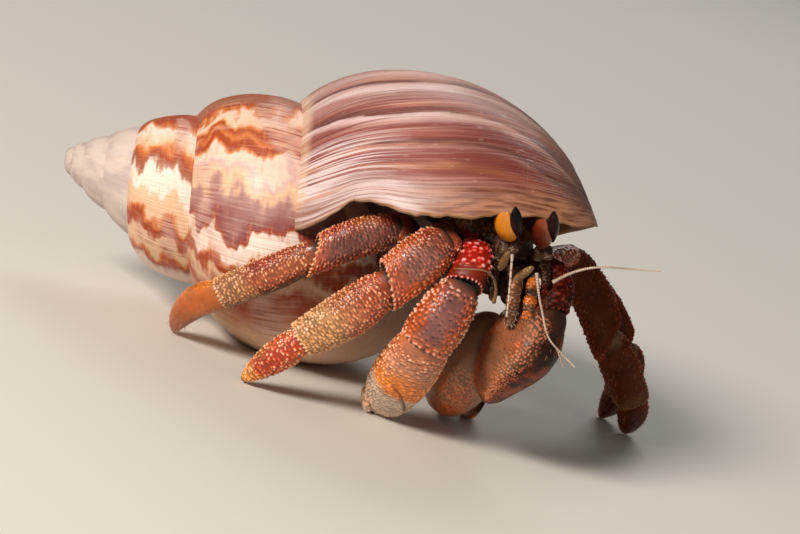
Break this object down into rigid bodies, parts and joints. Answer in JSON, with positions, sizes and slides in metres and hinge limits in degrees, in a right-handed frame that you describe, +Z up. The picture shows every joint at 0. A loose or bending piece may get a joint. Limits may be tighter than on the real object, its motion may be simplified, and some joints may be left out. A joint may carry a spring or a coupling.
{
  "type": "hermit crab",
  "caption": "Life-size still model of a land hermit crab walking in a giant land snail's shell, claws and granular walking legs under the lip.",
  "frame": {"origin": "centre of the whole model's outline seen from above, at the floor it stands on", "axes": "+X from the shell's apex towards its mouth end, +Z up, the crab walks towards +X and -Y"},
  "size_m": [0.0766, 0.048, 0.038],
  "materials": {
    "shell": "satin snail shell, mauve and cream with red-brown streaks and flames along the growth lines",
    "shield": "satin brown cuticle of the carapace and mouthparts",
    "limb": "semi-gloss red, orange and mauve cuticle with raised granules",
    "soft": "soft damp skin of the hidden abdomen",
    "eye": "glossy black cornea",
    "feeler": "pale grey ringed feelers"
  },
  "bodies": {
    "root": {"shell": "shell", "abdomen": "soft", "carapace": "shield", "thorax": "shield", "mouthparts": "shield", "maxilliped_right": "limb", "maxilliped_left": "limb", "eyestalk_right": "limb", "cornea_right": "eye", "eyestalk_left": "limb", "cornea_left": "eye", "leg_right_2_coxa": "limb", "leg_right_2_merus": "limb", "leg_right_2_carpus": "limb", "leg_right_2_propodus": "limb", "leg_right_2_dactylus": "limb", "leg_right_3_coxa": "limb", "leg_right_3_merus": "limb", "leg_right_3_carpus": "limb", "leg_right_3_propodus": "limb", "leg_right_3_dactylus": "limb", "leg_left_2_coxa": "limb", "leg_left_2_merus": "limb", "leg_left_2_carpus": "limb", "leg_left_2_propodus": "limb", "leg_left_2_dactylus": "limb", "leg_left_3_coxa": "limb", "leg_left_3_merus": "limb", "leg_left_3_carpus": "limb", "leg_left_3_propodus": "limb", "leg_left_3_dactylus": "limb", "claw_right_ischium": "limb", "claw_right_merus": "limb", "claw_right_carpus": "limb", "claw_right_palm": "limb", "claw_right_finger": "limb", "claw_left_ischium": "limb", "claw_left_merus": "limb", "claw_left_carpus": "limb", "claw_left_palm": "limb", "claw_left_finger": "limb", "antennule_right_base": "feeler", "antennule_right_stem": "feeler", "antenna_right_base": "feeler", "antenna_right_whip": "feeler", "antennule_left_base": "feeler", "antennule_left_stem": "feeler", "antenna_left_base": "feeler", "antenna_left_whip": "feeler"}
  },
  "joints": []
}
